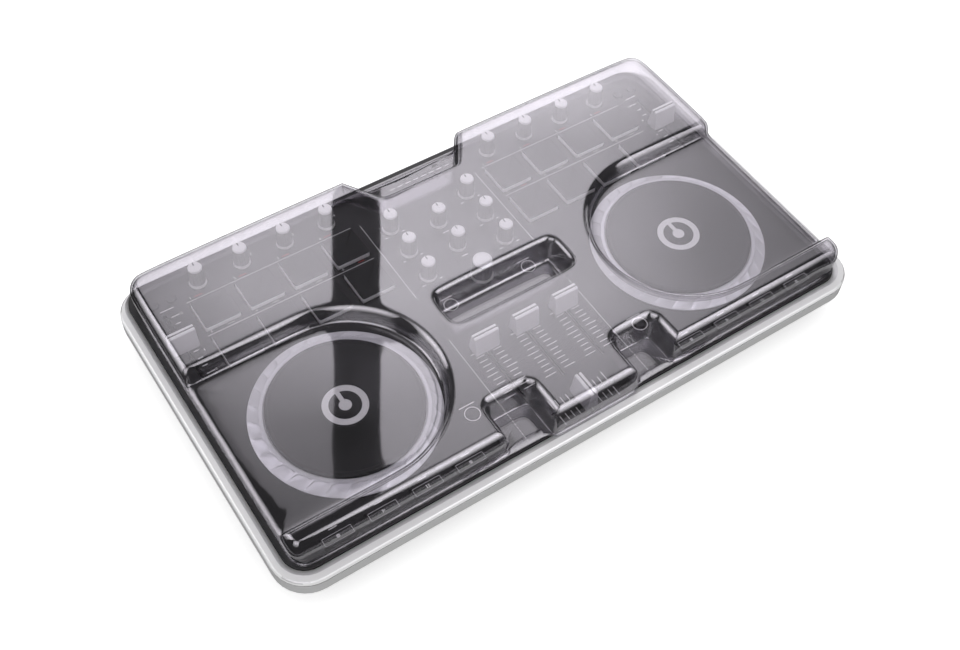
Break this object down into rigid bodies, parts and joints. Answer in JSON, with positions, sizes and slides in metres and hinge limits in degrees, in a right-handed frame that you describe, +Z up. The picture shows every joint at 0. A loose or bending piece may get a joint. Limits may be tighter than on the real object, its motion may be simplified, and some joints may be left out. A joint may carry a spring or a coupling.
{
  "type": "dj controller",
  "caption": "Table-top DJ controller: jog wheels either side of a mixer of knobs and faders, with pads, transport buttons and a clear lift-off cover.",
  "frame": {"origin": "centre of the underside, on the surface that the rubber feet stand on", "axes": "+X to the player's right along the front edge, +Y from the player to the back edge with the sockets, +Z up"},
  "size_m": [0.474, 0.27, 0.0605],
  "materials": {
    "black_panel": "satin black",
    "black_case": "fine grain",
    "silver_rim": "smooth silver",
    "pale_plate": "smooth",
    "circuit_board": "solder mask",
    "steel": "plain",
    "brass": "plated",
    "rubber": "matte",
    "ribbon": "ribbed",
    "silver_ring": "facetted silver",
    "black_disc": "smooth",
    "pale_plastic": "smooth",
    "pad_rubber": "smooth",
    "button_plastic": "smooth",
    "knob_plastic": "soft",
    "clear_cover": "clear polished sheet"
  },
  "bodies": {
    "chassis": {"upper_case": "black_panel", "lower_case": "black_case", "side_rim": "silver_rim", "name_strip": "pale_plate", "main_board": "circuit_board", "jog_axles": "steel", "jog_sensor_boards": "circuit_board", "knob_pots": "steel", "fader_bodies": "steel", "tact_switches": "black_case", "usb_socket": "steel", "rca_sockets": "brass", "jack_sockets": "black_case", "jack_nuts": "steel", "rubber_feet": "rubber", "case_screws": "steel", "board_screws": "steel", "ribbon_cables": "ribbon"},
    "protective_cover": {"protective_cover": "clear_cover"},
    "left_jog_wheel": {"left_jog_ring": "silver_ring", "left_jog_disc": "black_disc"},
    "right_jog_wheel": {"right_jog_ring": "silver_ring", "right_jog_disc": "black_disc"},
    "line_fader_1": {"line_fader_1": "pale_plastic"},
    "line_fader_2": {"line_fader_2": "pale_plastic"},
    "line_fader_3": {"line_fader_3": "pale_plastic"},
    "crossfader": {"crossfader": "pale_plastic"},
    "left_pitch_fader": {"left_pitch_fader": "pale_plastic"},
    "right_pitch_fader": {"right_pitch_fader": "pale_plastic"},
    "left_back_pads": {"left_back_pads": "pad_rubber"},
    "left_front_pads": {"left_front_pads": "pad_rubber"},
    "right_back_pads": {"right_back_pads": "pad_rubber"},
    "right_front_pads": {"right_front_pads": "pad_rubber"},
    "left_transport_buttons": {"left_transport_buttons": "button_plastic"},
    "right_transport_buttons": {"right_transport_buttons": "button_plastic"},
    "browse_knob": {"browse_knob": "knob_plastic"},
    "left_eq_knob_1": {"left_eq_knob_1": "knob_plastic"},
    "left_eq_knob_2": {"left_eq_knob_2": "knob_plastic"},
    "left_eq_knob_3": {"left_eq_knob_3": "knob_plastic"},
    "right_eq_knob_1": {"right_eq_knob_1": "knob_plastic"},
    "right_eq_knob_2": {"right_eq_knob_2": "knob_plastic"},
    "right_eq_knob_3": {"right_eq_knob_3": "knob_plastic"},
    "gain_knob_1": {"gain_knob_1": "knob_plastic"},
    "gain_knob_2": {"gain_knob_2": "knob_plastic"},
    "left_fx_knob_1": {"left_fx_knob_1": "knob_plastic"},
    "left_fx_knob_2": {"left_fx_knob_2": "knob_plastic"},
    "left_fx_knob_3": {"left_fx_knob_3": "knob_plastic"},
    "left_fx_knob_4": {"left_fx_knob_4": "knob_plastic"},
    "right_fx_knob_1": {"right_fx_knob_1": "knob_plastic"},
    "right_fx_knob_2": {"right_fx_knob_2": "knob_plastic"},
    "right_fx_knob_3": {"right_fx_knob_3": "knob_plastic"},
    "right_fx_knob_4": {"right_fx_knob_4": "knob_plastic"},
    "left_scratch_button": {"left_scratch_button": "button_plastic"},
    "left_load_button": {"left_load_button": "button_plastic"},
    "left_bend_buttons": {"left_bend_buttons": "button_plastic"},
    "right_scratch_button": {"right_scratch_button": "button_plastic"},
    "right_load_button": {"right_load_button": "button_plastic"},
    "right_bend_buttons": {"right_bend_buttons": "button_plastic"}
  },
  "joints": [
    {"name": "protective_cover_slide", "type": "slide", "parent": "chassis", "child": "protective_cover", "axis": [0, 0, 1], "range_m": [0, 0.12]},
    {"name": "left_jog_wheel_turn", "type": "hinge", "parent": "chassis", "child": "left_jog_wheel", "pos_m": [-0.1419, -0.0371, 0.04], "axis": [0, 0, 1], "continuous": true},
    {"name": "right_jog_wheel_turn", "type": "hinge", "parent": "chassis", "child": "right_jog_wheel", "pos_m": [0.1419, -0.0371, 0.04], "axis": [0, 0, 1], "continuous": true},
    {"name": "line_fader_1_slide", "type": "slide", "parent": "chassis", "child": "line_fader_1", "axis": [0, 1, 0], "range_m": [-0.045, 0]},
    {"name": "line_fader_2_slide", "type": "slide", "parent": "chassis", "child": "line_fader_2", "axis": [0, 1, 0], "range_m": [-0.045, 0]},
    {"name": "line_fader_3_slide", "type": "slide", "parent": "chassis", "child": "line_fader_3", "axis": [0, 1, 0], "range_m": [-0.045, 0]},
    {"name": "crossfader_slide", "type": "slide", "parent": "chassis", "child": "crossfader", "axis": [1, 0, 0], "range_m": [-0.0225, 0.0225]},
    {"name": "left_pitch_fader_slide", "type": "slide", "parent": "chassis", "child": "left_pitch_fader", "axis": [0, 1, 0], "range_m": [-0.028, 0.028]},
    {"name": "right_pitch_fader_slide", "type": "slide", "parent": "chassis", "child": "right_pitch_fader", "axis": [0, 1, 0], "range_m": [-0.028, 0.028]},
    {"name": "left_back_pads_slide", "type": "slide", "parent": "chassis", "child": "left_back_pads", "axis": [0, 0, 1], "range_m": [-0.001, 0], "stiffness_N_per_m": 1200, "springref_m": 0.0006},
    {"name": "left_front_pads_slide", "type": "slide", "parent": "chassis", "child": "left_front_pads", "axis": [0, 0, 1], "range_m": [-0.001, 0], "stiffness_N_per_m": 1200, "springref_m": 0.0006},
    {"name": "right_back_pads_slide", "type": "slide", "parent": "chassis", "child": "right_back_pads", "axis": [0, 0, 1], "range_m": [-0.001, 0], "stiffness_N_per_m": 1200, "springref_m": 0.0006},
    {"name": "right_front_pads_slide", "type": "slide", "parent": "chassis", "child": "right_front_pads", "axis": [0, 0, 1], "range_m": [-0.001, 0], "stiffness_N_per_m": 1200, "springref_m": 0.0006},
    {"name": "left_transport_buttons_slide", "type": "slide", "parent": "chassis", "child": "left_transport_buttons", "axis": [0, 0, 1], "range_m": [-0.001, 0], "stiffness_N_per_m": 1200, "springref_m": 0.0006},
    {"name": "right_transport_buttons_slide", "type": "slide", "parent": "chassis", "child": "right_transport_buttons", "axis": [0, 0, 1], "range_m": [-0.001, 0], "stiffness_N_per_m": 1200, "springref_m": 0.0006},
    {"name": "browse_knob_turn", "type": "hinge", "parent": "chassis", "child": "browse_knob", "pos_m": [0, 0.0128, 0.045], "axis": [0, 0, 1], "continuous": true},
    {"name": "left_eq_knob_1_turn", "type": "hinge", "parent": "chassis", "child": "left_eq_knob_1", "pos_m": [-0.0336, 0.0851, 0.045], "axis": [0, 0, 1], "range_deg": [-140, 140]},
    {"name": "left_eq_knob_2_turn", "type": "hinge", "parent": "chassis", "child": "left_eq_knob_2", "pos_m": [-0.0336, 0.0589, 0.045], "axis": [0, 0, 1], "range_deg": [-140, 140]},
    {"name": "left_eq_knob_3_turn", "type": "hinge", "parent": "chassis", "child": "left_eq_knob_3", "pos_m": [-0.0336, 0.0323, 0.045], "axis": [0, 0, 1], "range_deg": [-140, 140]},
    {"name": "right_eq_knob_1_turn", "type": "hinge", "parent": "chassis", "child": "right_eq_knob_1", "pos_m": [0.0336, 0.0851, 0.045], "axis": [0, 0, 1], "range_deg": [-140, 140]},
    {"name": "right_eq_knob_2_turn", "type": "hinge", "parent": "chassis", "child": "right_eq_knob_2", "pos_m": [0.0336, 0.0589, 0.045], "axis": [0, 0, 1], "range_deg": [-140, 140]},
    {"name": "right_eq_knob_3_turn", "type": "hinge", "parent": "chassis", "child": "right_eq_knob_3", "pos_m": [0.0336, 0.0323, 0.045], "axis": [0, 0, 1], "range_deg": [-140, 140]},
    {"name": "gain_knob_1_turn", "type": "hinge", "parent": "chassis", "child": "gain_knob_1", "pos_m": [0, 0.0716, 0.045], "axis": [0, 0, 1], "range_deg": [-140, 140]},
    {"name": "gain_knob_2_turn", "type": "hinge", "parent": "chassis", "child": "gain_knob_2", "pos_m": [0, 0.0452, 0.045], "axis": [0, 0, 1], "range_deg": [-140, 140]},
    {"name": "left_fx_knob_1_turn", "type": "hinge", "parent": "chassis", "child": "left_fx_knob_1", "pos_m": [-0.0721, 0.1142, 0.045], "axis": [0, 0, 1], "range_deg": [-140, 140]},
    {"name": "left_fx_knob_2_turn", "type": "hinge", "parent": "chassis", "child": "left_fx_knob_2", "pos_m": [-0.107, 0.1142, 0.045], "axis": [0, 0, 1], "range_deg": [-140, 140]},
    {"name": "left_fx_knob_3_turn", "type": "hinge", "parent": "chassis", "child": "left_fx_knob_3", "pos_m": [-0.142, 0.1142, 0.045], "axis": [0, 0, 1], "range_deg": [-140, 140]},
    {"name": "left_fx_knob_4_turn", "type": "hinge", "parent": "chassis", "child": "left_fx_knob_4", "pos_m": [-0.1769, 0.1142, 0.045], "axis": [0, 0, 1], "range_deg": [-140, 140]},
    {"name": "right_fx_knob_1_turn", "type": "hinge", "parent": "chassis", "child": "right_fx_knob_1", "pos_m": [0.0721, 0.1142, 0.045], "axis": [0, 0, 1], "range_deg": [-140, 140]},
    {"name": "right_fx_knob_2_turn", "type": "hinge", "parent": "chassis", "child": "right_fx_knob_2", "pos_m": [0.107, 0.1142, 0.045], "axis": [0, 0, 1], "range_deg": [-140, 140]},
    {"name": "right_fx_knob_3_turn", "type": "hinge", "parent": "chassis", "child": "right_fx_knob_3", "pos_m": [0.142, 0.1142, 0.045], "axis": [0, 0, 1], "range_deg": [-140, 140]},
    {"name": "right_fx_knob_4_turn", "type": "hinge", "parent": "chassis", "child": "right_fx_knob_4", "pos_m": [0.1769, 0.1142, 0.045], "axis": [0, 0, 1], "range_deg": [-140, 140]},
    {"name": "left_scratch_button_slide", "type": "slide", "parent": "chassis", "child": "left_scratch_button", "axis": [0, 0, 1], "range_m": [-0.001, 0], "stiffness_N_per_m": 1200, "springref_m": 0.0006},
    {"name": "left_load_button_slide", "type": "slide", "parent": "chassis", "child": "left_load_button", "axis": [0, 0, 1], "range_m": [-0.001, 0], "stiffness_N_per_m": 1200, "springref_m": 0.0006},
    {"name": "left_bend_buttons_slide", "type": "slide", "parent": "chassis", "child": "left_bend_buttons", "axis": [0, 0, 1], "range_m": [-0.001, 0], "stiffness_N_per_m": 1200, "springref_m": 0.0006},
    {"name": "right_scratch_button_slide", "type": "slide", "parent": "chassis", "child": "right_scratch_button", "axis": [0, 0, 1], "range_m": [-0.001, 0], "stiffness_N_per_m": 1200, "springref_m": 0.0006},
    {"name": "right_load_button_slide", "type": "slide", "parent": "chassis", "child": "right_load_button", "axis": [0, 0, 1], "range_m": [-0.001, 0], "stiffness_N_per_m": 1200, "springref_m": 0.0006},
    {"name": "right_bend_buttons_slide", "type": "slide", "parent": "chassis", "child": "right_bend_buttons", "axis": [0, 0, 1], "range_m": [-0.001, 0], "stiffness_N_per_m": 1200, "springref_m": 0.0006}
  ]
}
